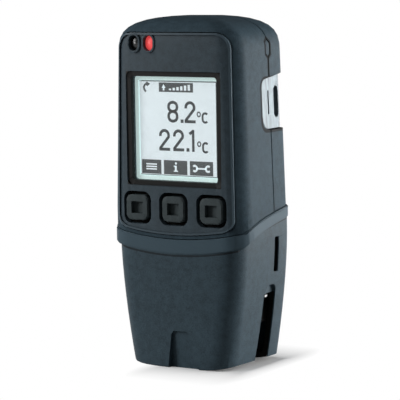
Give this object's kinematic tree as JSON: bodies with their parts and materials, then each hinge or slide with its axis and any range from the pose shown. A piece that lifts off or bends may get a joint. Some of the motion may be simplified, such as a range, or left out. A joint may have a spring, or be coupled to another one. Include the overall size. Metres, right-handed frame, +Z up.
{
  "type": "temperature data logger",
  "caption": "Handheld data logger with a display window, press keys and signal lamps, standing on a slotted pull-off cap over a plug and probe socket.",
  "frame": {"origin": "middle of the cap's foot, on the plane it stands on", "axes": "+X to the device's left as it faces the reader, which is the right in the front view; -Y out of the display; +Z up"},
  "size_m": [0.058, 0.0376, 0.127],
  "materials": {
    "charcoal": "fine-grained, slightly rubbery moulded plastic",
    "panel": "fine-grained front panel",
    "cap_plastic": "fine-grained moulded plastic",
    "key_rubber": "soft matt keys",
    "black_rubber": "matt black",
    "glass": "clear, faintly green at the edge",
    "frame_white": "pale display surround",
    "display": "pale blue-grey display glass",
    "light_white": "milky light guide",
    "board": "green solder mask",
    "chip": "black moulded packages",
    "lamp_dark": "dark clear lens",
    "lamp_red": "red lens, lit",
    "led": "small lamp packages",
    "brass_disc": "sounder disc",
    "bracket": "bright bracket",
    "tray": "black tray",
    "cell": "printed sleeve, blank",
    "contact": "nickel plated",
    "screw": "plated steel",
    "label": "blank plate",
    "plug_metal": "plated shell",
    "tongue": "white insulator",
    "socket": "gilt socket",
    "sensor": "polished tip"
  },
  "bodies": {
    "housing": {"front_shell": "charcoal", "rear_shell": "charcoal", "seam_ring": "black_rubber", "front_panel": "panel", "window_pane": "glass", "display_frame": "frame_white", "display_panel": "display", "backlight": "light_white", "circuit_board": "board", "board_chips": "chip", "key_mat": "black_rubber", "key_switches": "chip", "lamp_left": "lamp_dark", "lamp_right": "lamp_red", "led_chips": "led", "sounder": "brass_disc", "seam_plug": "charcoal", "strap_bracket_right": "bracket", "strap_bracket_left": "bracket", "battery_tray": "tray", "cell_left": "cell", "cell_right": "cell", "contact_springs": "contact", "contact_plates": "contact", "battery_door": "charcoal", "door_seal": "black_rubber", "door_screws": "screw", "rear_label": "label", "case_screws": "screw", "board_screws": "screw", "connector_block": "tray", "usb_plug": "plug_metal", "usb_tongue": "tongue", "probe_socket": "socket", "air_sensor": "sensor", "cap_grips": "black_rubber"},
    "left_key": {"key_left": "key_rubber"},
    "middle_key": {"key_middle": "key_rubber"},
    "right_key": {"key_right": "key_rubber"},
    "cap": {"cap": "cap_plastic"}
  },
  "joints": [
    {"name": "left_key_press", "type": "slide", "parent": "housing", "child": "left_key", "axis": [0, 1, 0], "range_m": [0, 0.0008], "stiffness_N_per_m": 400, "springref_m": -0.0005},
    {"name": "middle_key_press", "type": "slide", "parent": "housing", "child": "middle_key", "axis": [0, 1, 0], "range_m": [0, 0.0008], "stiffness_N_per_m": 400, "springref_m": -0.0005},
    {"name": "right_key_press", "type": "slide", "parent": "housing", "child": "right_key", "axis": [0, 1, 0], "range_m": [0, 0.0008], "stiffness_N_per_m": 400, "springref_m": -0.0005},
    {"name": "cap_pull", "type": "slide", "parent": "housing", "child": "cap", "axis": [0, 0, -1], "range_m": [0, 0.045]}
  ]
}
